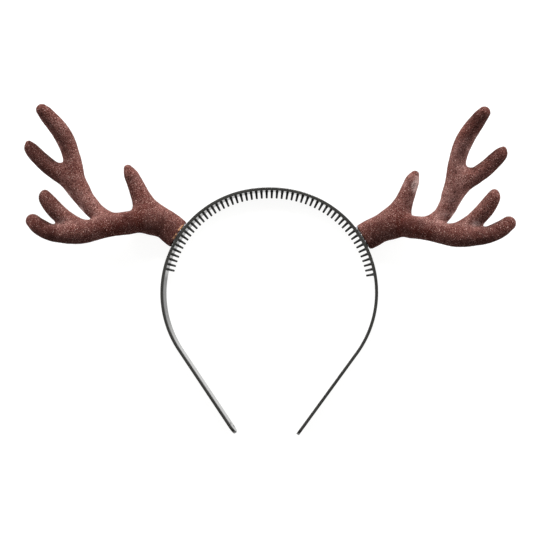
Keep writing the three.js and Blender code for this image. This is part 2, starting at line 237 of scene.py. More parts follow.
def smoothstep(a, b, x):
    t = np.clip((x - a) / (b - a), 0.0, 1.0)
    return t * t * (3 - 2 * t)


def join_soft(a, b, k):
    """Union of two distance fields with a fillet, and how far each point is in the fillet."""
    h = np.maximum(k - np.abs(a - b), 0.0) / k
    return np.minimum(a, b) - h * h * k * 0.25, h


def keep_soft(a, b, k):
    """Common part of two distance fields with a rounded edge."""
    h = np.maximum(k - np.abs(a - b), 0.0) / k
    return np.maximum(a, b) + h * h * k * 0.25


# ------------------------------------------------------------------ distance fields
class Grid:
    def __init__(self, low, high, step):
        self.low = np.asarray(low, float)
        self.step = step
        self.shape = tuple(int(v) for v in np.ceil((np.asarray(high, float) - self.low) / step) + 1)
        self.axes = [
            (self.low[k] + step * np.arange(self.shape[k])).astype(np.float32) for k in range(3)
        ]

    def mesh(self):
        x, y, z = self.axes
        return x[:, None, None], y[None, :, None], z[None, None, :]

    def sample(self, field, points):
        q = (points - self.low) / self.step
        q = np.clip(q, 0.0, np.array(self.shape) - 1.001)
        i = np.floor(q).astype(np.int64)
        f = q - i
        total = np.zeros(len(q))
        for dx in (0, 1):
            for dy in (0, 1):
                for dz in (0, 1):
                    w = (
                        (f[:, 0] if dx else 1 - f[:, 0])
                        * (f[:, 1] if dy else 1 - f[:, 1])
                        * (f[:, 2] if dz else 1 - f[:, 2])
                    )
                    total += w * field[i[:, 0] + dx, i[:, 1] + dy, i[:, 2] + dz]
        return total

    def slope(self, field, points):
        e = self.step * 0.7
        g = np.empty((len(points), 3))
        for k in range(3):
            d = np.zeros(3)
            d[k] = e
            g[:, k] = (self.sample(field, points + d) - self.sample(field, points - d)) / (2 * e)
        return g


def chain_field(grid, points, reach=4.5):
    """Distance to a line of points with radii, filled in only near it."""
    far = np.float32(reach + 4.0)
    field = np.full(grid.shape, far, np.float32)
    x, y, z = grid.axes
    for a, b in zip(points[:-1], points[1:]):
        r = max(a[3], b[3]) + reach
        first = np.floor((np.minimum(a[:3], b[:3]) - r - grid.low) / grid.step).astype(int)
        last = np.ceil((np.maximum(a[:3], b[:3]) + r - grid.low) / grid.step).astype(int) + 1
        first = np.maximum(first, 0)
        last = np.minimum(last, grid.shape)
        if np.any(last <= first):
            continue
        part = tuple(slice(u, v) for u, v in zip(first, last))
        ab = (b[:3] - a[:3]).astype(np.float32)
        dx = x[part[0]][:, None, None] - np.float32(a[0])
        dy = y[part[1]][None, :, None] - np.float32(a[1])
        dz = z[part[2]][None, None, :] - np.float32(a[2])
        t = (dx * ab[0] + dy * ab[1] + dz * ab[2]) / np.float32(max(ab @ ab, 1e-9))
        np.clip(t, 0, 1, out=t)
        deep = np.float32(0.5 * (a[4] + b[4]))
        d = np.sqrt((dx - t * ab[0]) ** 2 + (dy - t * ab[1]) ** 2 + ((dz - t * ab[2]) / deep) ** 2)
        d -= np.float32(a[3]) + t * np.float32(b[3] - a[3])
        np.minimum(field[part], d, out=field[part])
    return field


def surface(grid, field):
    """The zero surface of a field as points and four-cornered faces, facing out."""
    inside = field < 0
    n = np.array(grid.shape)
    count = np.zeros(n - 1, np.int8)
    for dx in (0, 1):
        for dy in (0, 1):
            for dz in (0, 1):
                count += inside[dx : n[0] - 1 + dx, dy : n[1] - 1 + dy, dz : n[2] - 1 + dz]
    cells = np.argwhere((count > 0) & (count < 8))
    index = np.full(n - 1, -1, np.int32)
    index[cells[:, 0], cells[:, 1], cells[:, 2]] = np.arange(len(cells), dtype=np.int32)
    corner = np.array([(i, j, k) for i in (0, 1) for j in (0, 1) for k in (0, 1)])
    value = np.stack(
        [field[cells[:, 0] + c[0], cells[:, 1] + c[1], cells[:, 2] + c[2]] for c in corner], 1
    ).astype(float)
    total = np.zeros((len(cells), 3))
    hits = np.zeros(len(cells))
    for a in range(8):
        for b in range(a + 1, 8):
            if np.abs(corner[a] - corner[b]).sum() != 1:
                continue
            va, vb = value[:, a], value[:, b]
            cross = (va < 0) != (vb < 0)
            t = np.where(cross, va / np.where(cross, va - vb, 1.0), 0.0)
            point = corner[a] + t[:, None] * (corner[b] - corner[a])
            total += np.where(cross[:, None], point, 0.0)
            hits += cross
    verts = grid.low + grid.step * (cells + total / hits[:, None])
    faces = []
    for axis in range(3):
        u, v = (axis + 1) % 3, (axis + 2) % 3
        one = [slice(None)] * 3
        two = [slice(None)] * 3
        one[axis], two[axis] = slice(0, n[axis] - 1), slice(1, n[axis])
        a, b = inside[tuple(one)], inside[tuple(two)]
        edge = np.argwhere(a != b)
        edge = edge[(edge[:, u] > 0) & (edge[:, v] > 0) & (edge[:, u] < n[u] - 1) & (edge[:, v] < n[v] - 1)]
        out = a[edge[:, 0], edge[:, 1], edge[:, 2]]
        step_u, step_v = np.zeros(3, int), np.zeros(3, int)
        step_u[u], step_v[v] = 1, 1
        ring = [edge - step_u - step_v, edge - step_v, edge, edge - step_u]
        quad = np.stack([index[r[:, 0], r[:, 1], r[:, 2]] for r in ring], 1)
        faces.append(quad[out])
        faces.append(quad[~out][:, ::-1])
    return verts, np.concatenate(faces)


def relax(grid, field, verts, faces, rounds=4):
    """Evens out the points of a surface and puts them back on it."""
    pairs = np.concatenate([faces[:, [0, 1]], faces[:, [1, 2]], faces[:, [2, 3]], faces[:, [3, 0]]])
    links = np.bincount(pairs.ravel(), minlength=len(verts)).astype(float)[:, None]
    for _ in range(rounds):
        total = np.zeros_like(verts)
        for k in range(3):
            total[:, k] = np.bincount(pairs[:, 0], verts[pairs[:, 1], k], len(verts)) + np.bincount(
                pairs[:, 1], verts[pairs[:, 0], k], len(verts)
            )
        verts = 0.45 * verts + 0.55 * total / links
        g = grid.slope(field, verts)
        d = grid.sample(field, verts)
        verts = verts - np.clip(d, -0.5, 0.5)[:, None] * g / np.maximum((g * g).sum(1), 0.25)[:, None]
    return verts


# ------------------------------------------------------------------ materials
def material(name):
    mat = bpy.data.materials.new(name)
    mat.use_nodes = True
    tree = mat.node_tree
    shader = next(n for n in tree.nodes if n.type == "BSDF_PRINCIPLED")
    return mat, tree, shader


def add(tree, kind, **values):
    node = tree.nodes.new(kind)
    for key, value in values.items():
        if key in node.bl_rna.properties:
            setattr(node, key, value)
        else:
            node.inputs[key.replace("_", " ")].default_value = value
    return node


def link(tree, a, b):
    tree.links.new(a, b)


def noise(tree, where, scale, detail=2.0, rough=0.5, twist=0.0):
    node = add(tree, "ShaderNodeTexNoise", Scale=scale, Detail=detail, Roughness=rough, Distortion=twist)
    link(tree, where, node.inputs["Vector"])
    return node.outputs[0]


def span(tree, value, a, b, low=0.0, high=1.0, smooth=True):
    node = add(tree, "ShaderNodeMapRange")
    node.interpolation_type = "SMOOTHSTEP" if smooth else "LINEAR"
    node.clamp = True
    for key, v in (("From Min", a), ("From Max", b), ("To Min", low), ("To Max", high)):
        node.inputs[key].default_value = v
    link(tree, value, node.inputs["Value"])
    return node.outputs[0]


def sums(tree, how, a, b):
    node = add(tree, "ShaderNodeMath", operation=how)
    for k, v in enumerate((a, b)):
        if isinstance(v, (int, float)):
            node.inputs[k].default_value = v
        else:
            link(tree, v, node.inputs[k])
    return node.outputs[0]


def blend(tree, factor, a, b):
    node = add(tree, "ShaderNodeMix", data_type="RGBA")
    for socket, v in ((node.inputs[0], factor), (node.inputs[6], a), (node.inputs[7], b)):
        if isinstance(v, (int, float)):
            socket.default_value = v
        elif isinstance(v, tuple):
            socket.default_value = (*v, 1.0)
        else:
            link(tree, v, socket)
    return node.outputs[2]


def bump(tree, height, strength, distance, below=None):
    node = add(tree, "ShaderNodeBump", Strength=strength, Distance=distance)
    link(tree, height, node.inputs["Height"])
    if below is not None:
        link(tree, below, node.inputs["Normal"])
    return node.outputs[0]


def attribute(tree, name):
    return add(tree, "ShaderNodeAttribute", attribute_name=name).outputs["Fac"]


def flock_material():
    mat, tree, shader = material("brown_flock")
    at = add(tree, "ShaderNodeTexCoord").outputs["Object"]
    cloud = noise(tree, at, 120.0, 3.0, 0.55)
    patch = noise(tree, at, 420.0, 4.0, 0.65)
    grain = noise(tree, at, 1900.0, 2.0, 0.6)
    fleck = noise(tree, at, 2100.0, 1.0, 0.5)
    pile = noise(tree, at, 3200.0, 2.0, 0.6)

    body = blend(tree, span(tree, patch, 0.30, 0.70), (0.060, 0.0140, 0.0100), (0.088, 0.0212, 0.0154))
    body = blend(tree, span(tree, cloud, 0.42, 0.68, 0.0, 0.30), body, (0.108, 0.031, 0.0230))
    body = blend(tree, span(tree, grain, 0.50, 0.33, 0.0, 0.96), body, (0.012, 0.0030, 0.0022))
    body = blend(tree, span(tree, grain, 0.54, 0.69, 0.0, 0.90), body, (0.258, 0.097, 0.078))

    # painted light mixed with dust: spots, creases and up-facing sides made paler
    dust_and_light_mix = attribute(tree, "dust_and_painted_light")
    dust_and_light_mix = sums(tree, "MULTIPLY", dust_and_light_mix, span(tree, patch, 0.25, 0.62, 0.50, 1.0))
    dust_and_light_mix = sums(tree, "MULTIPLY", dust_and_light_mix, span(tree, grain, 0.36, 0.60, 0.18, 1.10))
    dust_and_light_colour = blend(tree, span(tree, attribute(tree, "dust_and_painted_light"), 0.60, 1.0), (0.326, 0.175, 0.154), (0.740, 0.520, 0.480))
    dust_and_light_mix = sums(tree, "MINIMUM", sums(tree, "MULTIPLY", dust_and_light_mix, 1.25), 0.95)
    body = blend(tree, dust_and_light_mix, body, dust_and_light_colour)

    # painted shade on tips, undersides and the base, from the spots table
    painted_shade = attribute(tree, "painted_shade")
    body = blend(tree, sums(tree, "MULTIPLY", painted_shade, 0.85), body, (0.026, 0.0058, 0.0043))
    # painted shade on the sides facing down, away from the key light
    painted_underside_shade = attribute(tree, "painted_underside_shade")
    body = blend(tree, sums(tree, "MULTIPLY", painted_underside_shade, 0.50), body, (0.024, 0.008, 0.006))

    flecks = span(tree, fleck, 0.645, 0.715, 0.0, 0.96)
    flecks = sums(tree, "MULTIPLY", flecks, span(tree, patch, 0.36, 0.60, 0.30, 1.0))
    flecks = sums(tree, "MULTIPLY", flecks, span(tree, painted_shade, 0.2, 0.9, 1.0, 0.45))
    body = blend(tree, flecks, body, (0.760, 0.500, 0.440))

    rim = attribute(tree, "rim")
    rim = sums(tree, "MULTIPLY", rim, span(tree, patch, 0.40, 0.56, 0.15, 1.0))
    body = blend(tree, rim, body, (0.560, 0.300, 0.165))
    link(tree, body, shader.inputs["Base Color"])

    link(tree, span(tree, grain, 0.3, 0.7, 0.86, 1.0, False), shader.inputs["Roughness"])
    shader.inputs["Specular IOR Level"].default_value = 0.03
    shader.inputs["Sheen Weight"].default_value = 0.012
    shader.inputs["Sheen Roughness"].default_value = 0.45
    shader.inputs["Sheen Tint"].default_value = (1.0, 0.80, 0.74, 1.0)
    first = bump(tree, grain, 0.55, 0.0005)
    link(tree, bump(tree, pile, 0.45, 0.00025, first), shader.inputs["Normal"])
    return mat


def plastic_material():
    mat, tree, shader = material("black_plastic")
    at = add(tree, "ShaderNodeTexCoord").outputs["Object"]
    cloud = noise(tree, at, 60.0, 3.0)
    grain = noise(tree, at, 1800.0, 2.0)
    stretch = add(tree, "ShaderNodeMapping")
    stretch.inputs["Scale"].default_value = (1.0, 1.0, 14.0)
    link(tree, at, stretch.inputs["Vector"])
    hair = noise(tree, stretch.outputs[0], 240.0, 4.0, 0.7)
    scuff = span(tree, hair, 0.60, 0.70, 0.0, 1.0)

    body = blend(tree, span(tree, cloud, 0.35, 0.65), (0.0215, 0.0209, 0.0182), (0.0290, 0.0282, 0.0246))
    body = blend(tree, sums(tree, "MULTIPLY", scuff, 0.5), body, (0.034, 0.034, 0.031))
    matte = attribute(tree, "matte")
    body = blend(tree, matte, body, (0.0140, 0.0136, 0.0120))
    link(tree, body, shader.inputs["Base Color"])
    rough = sums(tree, "ADD", span(tree, cloud, 0.3, 0.7, 0.15, 0.23), sums(tree, "MULTIPLY", scuff, 0.14))
    rough = sums(tree, "ADD", rough, sums(tree, "MULTIPLY", matte, 0.30))
    link(tree, rough, shader.inputs["Roughness"])
    shader.inputs["Specular IOR Level"].default_value = 0.5
    link(tree, span(tree, matte, 0.0, 1.0, 0.75, 0.0, False), shader.inputs["Coat Weight"])
    shader.inputs["Coat Roughness"].default_value = 0.10
    first = bump(tree, cloud, 0.10, 0.0004)
    link(tree, bump(tree, grain, 0.05, 0.00008, first), shader.inputs["Normal"])
    return mat


def glue_material():
    mat, tree, shader = material("hot_melt")
    at = add(tree, "ShaderNodeTexCoord").outputs["Object"]
    cloud = noise(tree, at, 420.0, 3.0, 0.6)
    ripple = noise(tree, at, 900.0, 2.0)
    body = blend(tree, span(tree, cloud, 0.35, 0.65), (0.72, 0.70, 0.77), (0.90, 0.88, 0.90))
    link(tree, body, shader.inputs["Base Color"])
    link(tree, span(tree, cloud, 0.3, 0.7, 0.10, 0.26, False), shader.inputs["Roughness"])
    shader.inputs["Transmission Weight"].default_value = 0.42
    shader.inputs["IOR"].default_value = 1.48
    link(tree, bump(tree, ripple, 0.35, 0.0003), shader.inputs["Normal"])
    return mat


def floor_material():
    mat, tree, shader = material("pale_floor")
    at = add(tree, "ShaderNodeTexCoord").outputs["Object"]
    cloud = noise(tree, at, 9.0, 3.0)
    body = blend(tree, span(tree, cloud, 0.3, 0.7), (0.190, 0.190, 0.189), (0.210, 0.210, 0.209))
    link(tree, body, shader.inputs["Base Color"])
    shader.inputs["Roughness"].default_value = 0.9
    shader.inputs["Specular IOR Level"].default_value = 0.1
    shader.inputs["Emission Color"].default_value = (1.0, 1.0, 0.995, 1.0)
    shader.inputs["Emission Strength"].default_value = 0.92
    return mat


FLOCK = flock_material()
PLASTIC = plastic_material()
GLUE = glue_material()

# ------------------------------------------------------------------ hair band
arcs = []
turned, begin = 0.0, 0.0
end = np.array([0.0, CROWN_TOP])
for radius, turn in BAND_ARCS:
    normal = np.array([math.sin(turned), math.cos(turned)])
    centre = end - normal * radius
    length = radius * math.radians(turn)
    arcs.append((radius, centre, turned, begin, length))
    turned += math.radians(turn)
    begin += length
    end = centre + radius * np.array([math.sin(turned), math.cos(turned)])
ARC_RUN = begin
HALF_RUN = ARC_RUN + LEG_LENGTH
SIDE_RADIUS, SIDE_CENTRE = arcs[-1][0], arcs[-1][1]


def outline(s):
    """Point and outward normal of the band's outer outline, a run s from the crown's middle."""
    side = -1.0 if s < 0 else 1.0
    run = abs(s)
    radius, centre, start, at, length = [a for a in arcs if run >= a[3] - 1e-9][-1]
    turn = start + min(run - at, length) / radius
    normal = np.array([math.sin(turn), math.cos(turn)])
    along = np.array([math.cos(turn), -math.sin(turn)])
    point = centre + normal * radius + along * max(0.0, run - ARC_RUN)
    return point * (side, 1.0), normal * (side, 1.0)


def strip_section(half_width, half_thick):
    """Rounded rectangle, as depth off the strip's middle and height off its middle."""
    edge = min(BAND_EDGE, half_thick * 0.96, half_width * 0.96)
    points = []
    for depth, high, start in (
        (-half_thick + edge, half_width - edge, 90),
        (half_thick - edge, half_width - edge, 0),
        (half_thick - edge, edge - half_width, -90),
        (-half_thick + edge, edge - half_width, -180),
    ):
        for k in range(5):
            angle = math.radians(start + 90 - 22.5 * k)
            points.append((depth + edge * math.cos(angle), high + edge * math.sin(angle)))
        span_to = {90: "top", 0: "inner", -90: "bottom", -180: "outer"}[start]
        if span_to in ("inner", "outer"):
            sign = -1.0 if span_to == "inner" else 1.0
            flat = half_width - edge
            for k in range(1, 6):
                points.append((points[-1][0], sign * flat * (-1.0 + k / 3.0)))
    return points


def closed_loft(rings, first, last):
    """Quads round a stack of equal rings, and the two end points for the end fans, which the caller makes."""
    n = len(rings[0])
    verts = np.concatenate([np.concatenate(rings), [first], [last]])
    faces = []
    for i in range(len(rings) - 1):
        for j in range(n):
            k = (j + 1) % n
            faces.append((i * n + j, i * n + k, (i + 1) * n + k, (i + 1) * n + j))
    return verts, faces, n, len(rings)


def build_object(name, verts_mm, faces):
    """A mesh of mixed faces, faced outwards."""
    mesh = bpy.data.meshes.new(name)
    mesh.from_pydata([tuple(v) for v in metres(verts_mm)], [], [tuple(f) for f in faces])
    mesh.validate()
    mesh.update()
    import bmesh

    bm = bmesh.new()
    bm.from_mesh(mesh)
    bmesh.ops.remove_doubles(bm, verts=bm.verts, dist=1e-7)
    bmesh.ops.recalc_face_normals(bm, faces=bm.faces)
    bm.to_mesh(mesh)
    bm.free()
    obj = bpy.data.objects.new(name, mesh)
    bpy.context.scene.collection.objects.link(obj)
    return obj


def strip_object():
    half = BAND_WIDTH / 2
    thick = BAND_THICK / 2
    runs = list(np.linspace(0.0, ARC_RUN, 171))
    runs += list(np.linspace(ARC_RUN, HALF_RUN - half, 41)[1:])
    for angle in np.linspace(0.0, 90.0, 19)[1:]:
        runs.append(HALF_RUN - half + half * math.sin(math.radians(angle)))
    stations = [-r for r in runs[:0:-1]] + runs
    rings = []
    for s in stations:
        point, normal = outline(s)
        left = HALF_RUN - abs(s)
        width = half
        if left < half:
            width = math.sqrt(max(half * half - (half - left) ** 2, 0.0))
        width = max(width, 0.55)
        slim = 1.0 if left > 0.4 else math.sqrt(max(1.0 - (1.0 - left / 0.4) ** 2, 0.0)) * 0.45 + 0.55
        ring = []
        for depth, high in strip_section(width, thick * slim):
            inward = thick + depth
            ring.append((point[0] - normal[0] * inward, point[1] - normal[1] * inward, half + high))
        rings.append(np.array(ring))
    verts, faces, n, count = closed_loft(rings, rings[0].mean(0), rings[-1].mean(0))
    for j in range(n):
        k = (j + 1) % n
        faces.append((len(verts) - 2, k, j))
        faces.append((len(verts) - 1, (count - 1) * n + j, (count - 1) * n + k))
    return build_object("band_skin", verts, faces)


def pin(profile, sides, s, height, depth):
    """A turned pin on the inner face: rows of distance off that face and radius."""
    point, normal = outline(s)
    inward = np.array([-normal[0], -normal[1], 0.0])
    along = np.array([-inward[1], inward[0], 0.0])
    up = np.array([0.0, 0.0, 1.0])
    base = np.array([point[0], point[1], height]) + inward * depth
    verts, faces = [], []
    for off, radius in profile:
        for k in range(sides):
            angle = 2 * math.pi * k / sides
            verts.append(base + inward * off + radius * (along * math.cos(angle) + up * math.sin(angle)))
    rows = len(profile)
    for i in range(rows - 1):
        for k in range(sides):
            m = (k + 1) % sides
            faces.append((i * sides + k, i * sides + m, (i + 1) * sides + m, (i + 1) * sides + k))
    faces.append(tuple(range(sides))[::-1])
    faces.append(tuple((rows - 1) * sides + k for k in range(sides)))
    return verts, faces


def many(name, pins):
    verts, faces = [], []
    for v, f in pins:
        start = len(verts)
        verts += v
        faces += [tuple(start + i for i in face) for face in f]
    return build_object(name, np.array(verts), faces)


def apply_boolean(obj, other, how):
    mod = obj.modifiers.new("cut", "BOOLEAN")
    mod.operation = how
    mod.object = other
    mod.solver = "EXACT"
    dg = bpy.context.evaluated_depsgraph_get()
    mesh = bpy.data.meshes.new_from_object(obj.evaluated_get(dg))
    obj.modifiers.clear()
    old = obj.data
    obj.data = mesh
    bpy.data.meshes.remove(old)
    bpy.data.objects.remove(other)


tip = TOOTH_LENGTH - TOOTH_TIP_HEIGHT
TOOTH = [(-0.5, 1.02), (0.0, 1.02), (0.1, 0.93), (0.28, 0.85), (0.6, 0.79), (1.2, 0.75)]
TOOTH += [(tip * 0.6, 0.68), (tip, TOOTH_TIP_RADIUS)]
for angle in (22, 42, 60, 76):
    a = math.radians(angle)
    TOOTH.append((tip + TOOTH_TIP_HEIGHT * math.sin(a), TOOTH_TIP_RADIUS * math.cos(a)))
teeth = many(
    "teeth",
    [
        pin(TOOTH, 14, TOOTH_ROW_SHIFT + (k - (TOOTH_COUNT - 1) / 2) * TOOTH_PITCH, BAND_WIDTH / 2, BAND_THICK)
        for k in range(TOOTH_COUNT)
    ],
)
pits = many(
    "pits",
    [
        pin(
            [(-MARK_DEPTH, MARK_RADIUS * 0.7), (-MARK_DEPTH * 0.6, MARK_RADIUS), (1.0, MARK_RADIUS)],
            16,
            side * (HALF_RUN - from_end),
            BAND_WIDTH / 2 + off,
            BAND_THICK,
        )
        for side in (-1, 1)
        for from_end, off in MARKS
    ],
)


def weld(mesh):
    """Closes the slits of less than a micron that the cuts leave."""
    import bmesh

    bm = bmesh.new()
    bm.from_mesh(mesh)
    bmesh.ops.remove_doubles(bm, verts=bm.verts, dist=1e-6)
    bm.to_mesh(mesh)
    bm.free()


def matte_faces(mesh):
    """1 on the teeth and the pin marks, less on the inner rounding and the arms' inner face."""
    last_tooth = (TOOTH_COUNT - 1) / 2 * TOOTH_PITCH + 1.0
    runs = np.linspace(-HALF_RUN, HALF_RUN, 1201)
    points, normals = (np.array(v) for v in zip(*(outline(s) for s in runs)))
    centres = np.empty(len(mesh.polygons) * 3)
    mesh.polygons.foreach_get("center", centres)
    centres = centres.reshape(-1, 3) * 1000.0 - SHIFT
    facing = np.empty(len(mesh.polygons) * 3)
    mesh.polygons.foreach_get("normal", facing)
    rounding = np.abs(facing.reshape(-1, 3)[:, 2])
    out = np.zeros(len(centres), np.float32)
    for i, (x, y, z) in enumerate(centres):
        near = int(np.argmin((points[:, 0] - x) ** 2 + (points[:, 1] - y) ** 2))
        depth = float((points[near] - (x, y)) @ normals[near])
        if depth > BAND_THICK + 0.10:
            out[i] = 1.0
        elif BAND_THICK - MARK_DEPTH - 0.1 < depth < BAND_THICK - 0.04:
            for from_end, off in MARKS:
                aside = abs(runs[near]) - (HALF_RUN - from_end)
                if math.hypot(aside, z - BAND_WIDTH / 2 - off) < MARK_RADIUS * 1.1:
                    out[i] = 1.0
        elif depth > BAND_THICK - 0.04:
            run = abs(runs[near])
            rise = min(1.0, max(0.0, (run - last_tooth) / 4.0))
            fall = min(1.0, max(0.0, (ARC_RUN - run) / 22.0))
            out[i] = 0.62 * rise * fall
        if depth > BAND_THICK - BAND_EDGE and 0.15 < rounding[i] < 0.97:
            out[i] = max(out[i], 0.85)
    mesh.attributes.new("matte", "FLOAT", "FACE").data.foreach_set("value", out)


band = strip_object()
apply_boolean(band, teeth, "UNION")
apply_boolean(band, pits, "DIFFERENCE")
weld(band.data)
matte_faces(band.data)
band.data.shade_smooth()
band.data.set_sharp_from_angle(angle=math.radians(38))
band.data.materials.clear()
band.data.materials.append(PLASTIC)
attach(band, "root")
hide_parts("hair_band")


# ------------------------------------------------------------------ antlers
def turn_matrix(seat):
    rx, ry, rz = (math.radians(v) for v in seat[3:6])
    turn = Matrix.Rotation(rx, 3, "X") @ Matrix.Rotation(ry, 3, "Y") @ Matrix.Rotation(rz, 3, "Z")
    return np.array(turn)


def placed(points, side):
    """Points in a right antler's own directions, put where that side's antler sits."""
    seat = SEATS[side]
    p = np.asarray(points, float) * (side, 1.0, 1.0) * seat[6]
    return p @ turn_matrix(seat).T + np.array(seat[:3])


def own_rows(side):
    """The rows of all branches with what sets that side's antler apart."""
    second, rear, drop = SEATS[side][7:]
    tables = [np.array(t, float) for t in (BEAM, BROW_TINE, UPPER_BEAM, SECOND_TINE, REAR_TINE)]
    if side < 0:
        for table in tables:
            table[:, 0] += table[:, 5]
    tables = [table[:, :5] for table in tables]
    tables[0][0, 1] -= drop
    tables[0][1, 1] -= drop / 2
    for table, length in ((tables[3], second), (tables[4], rear)):
        table[:, :3] = table[0, :3] + (table[:, :3] - table[0, :3]) * length
    return tables


def branch_line(rows, side, pieces=7):
    q = np.vstack([2 * rows[0] - rows[1], rows, 2 * rows[-1] - rows[-2]])
    out = []
    for i in range(1, len(q) - 2):
        a, b, c, d = q[i - 1 : i + 3]
        for t in np.arange(pieces) / pieces:
            out.append(
                0.5 * (2 * b + (c - a) * t + (2 * a - 5 * b + 4 * c - d) * t * t + (3 * b - a - 3 * c + d) * t**3)
            )
    out.append(rows[-1])
    out = np.array(out)
    return np.column_stack([placed(out[:, :3], side), out[:, 3] * SEATS[side][6], out[:, 4]])


def antler_field(grid, side, lines):
    beam, brow, upper, second, rear = (chain_field(grid, line) for line in lines)
    fork, crease_a = join_soft(upper, second, 3.6)
    whole, crease_b = join_soft(beam, brow, 4.2)
    whole, crease_c = join_soft(whole, fork, 3.6)
    whole, crease_d = join_soft(whole, rear, 2.6)
    crease = np.maximum(np.maximum(crease_a, crease_b), np.maximum(crease_c, crease_d))
    x, y, _ = grid.mesh()
    inside_drum = (SIDE_RADIUS + ROOT_GAP) - np.sqrt(
        (x - np.float32(side * SIDE_CENTRE[0])) ** 2 + (y - np.float32(SIDE_CENTRE[1])) ** 2
    )
    return keep_soft(whole, np.broadcast_to(inside_drum, grid.shape), 1.8), crease


def antler_object(name, side):
    lines = [branch_line(rows, side) for rows in own_rows(side)]
    every = np.concatenate(lines)
    grid = Grid((every[:, :3] - every[:, 3:4]).min(0) - 1.5, (every[:, :3] + every[:, 3:4]).max(0) + 1.5, SKIN_STEP)
    field, crease = antler_field(grid, side, lines)
    verts, faces = surface(grid, field)
    verts = relax(grid, field, verts, faces)
    normal = grid.slope(field, verts)
    normal /= np.maximum(np.linalg.norm(normal, axis=1), 1e-6)[:, None]

    off_cut = np.hypot(verts[:, 0] - side * SIDE_CENTRE[0], verts[:, 1] - SIDE_CENTRE[1])
    off_cut -= SIDE_RADIUS + ROOT_GAP
    pile = smoothstep(0.1, 1.2, off_cut)
    own = (verts - np.array(SEATS[side][:3])) @ turn_matrix(SEATS[side]) / SEATS[side][6] * (side, 1.0, 1.0)
    if side < 0:
        bent = np.array(UPPER_BEAM)
        own[:, 0] -= np.interp(own[:, 1], bent[:, 1], bent[:, 5]) * smoothstep(36.0, 41.0, own[:, 0])

    seed = SEED + (5 if side > 0 else 91)
    lumps = 0.10 * soft_noise(verts, 8.0, seed) + 0.07 * soft_noise(verts, 3.2, seed + 1)
    tufts = 0.05 * soft_noise(verts, 1.25, seed + 2) + 0.04 * soft_noise(verts, 0.6, seed + 3)
    moved = verts + normal * (pile * (lumps + tufts))[:, None]
    moved[:, 2] = np.maximum(moved[:, 2], 0.03)  # the pile is pressed flat where it meets the floor

    def spotted(spots):
        """How strongly each point lies within the spots of a table."""
        value = np.zeros(len(verts))
        for out, up, fwd, reach, right, left in spots:
            gap = np.linalg.norm(own - np.array([out, up, fwd]), axis=1)
            value = np.maximum(value, (right if side > 0 else left) * smoothstep(reach * 1.5, reach * 0.35, gap))
        return value

    # paler spots and creases: dust, and in the spots also painted light where the light falls
    dust_and_painted_light = np.maximum(spotted(DUST_AND_LIGHT_SPOTS), 0.28 * smoothstep(0.15, 0.75, grid.sample(crease, verts)))
    dust_and_light_patches = dust_and_painted_light * (0.80 + 0.45 * soft_noise(verts, 4.5, seed + 4))
    # painted shade: sides facing down made darker, less on the pale spots and near the root
    painted_underside_shade = smoothstep(-0.40, -0.90, normal[:, 1]) * smoothstep(0.85, 0.35, normal[:, 2])
    painted_underside_shade *= 1.0 - 0.9 * smoothstep(0.2, 0.5, dust_and_painted_light)
    painted_underside_shade *= 1.0 - 0.7 * smoothstep(46.0, 36.0, own[:, 0])
    # painted light: sides facing up towards the key light made paler
    dust_and_painted_light = np.clip(np.maximum(dust_and_light_patches, 0.20 * smoothstep(0.35, 0.95, normal[:, 1])), 0.0, 1.0)
    # painted shade from the spots table
    painted_shade = spotted(PAINTED_SHADE_SPOTS) * (0.9 + 0.3 * soft_noise(verts, 5.0, seed + 6))
    rim = smoothstep(1.15, 0.75, off_cut + 0.35 * soft_noise(verts, 1.6, seed + 5))
    bare = np.degrees(np.arctan2(side * verts[:, 0] - SIDE_CENTRE[0], verts[:, 1] - SIDE_CENTRE[1]))
    upper = smoothstep(50.0, 50.8, bare) * smoothstep(55.2, 54.4, bare)
    lower = smoothstep(56.2, 56.9, bare) * smoothstep(60.6, 59.4, bare)
    rim *= np.maximum(upper, lower) * (0.12 if side > 0 else 1.0)

    obj = mesh_object(name, moved, faces)
    for key, values in (("dust_and_painted_light", dust_and_painted_light), ("painted_shade", painted_shade), ("painted_underside_shade", painted_underside_shade), ("rim", rim)):
        layer = obj.data.attributes.new(key, "FLOAT", "POINT")
        layer.data.foreach_set("value", values.astype(np.float32))
    obj.data.materials.append(FLOCK)
    return obj, lines


antler_lines = {}
for side, node in ((-1, "antler_left"), (1, "antler_right")):
    skin, antler_lines[side] = antler_object(node + "_skin", side)
    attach(skin, "root")
    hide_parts(node)

# ------------------------------------------------------------------ glue
GLUE_BEADS = {  # degrees from the crown, off the band's outer face, height, radius
    1: ((51.6, 0.45, 9.3, 0.62), (56.5, 0.35, 9.8, 0.50), (60.3, 0.35, 9.7, 0.50), (62.9, 0.45, 8.6, 0.50)),
    -1: ((54.2, 0.55, 9.9, 0.80), (56.1, 0.45, 9.9, 0.48), (60.5, 0.35, 9.4, 0.50), (50.9, 0.35, 8.6, 0.55)),
}


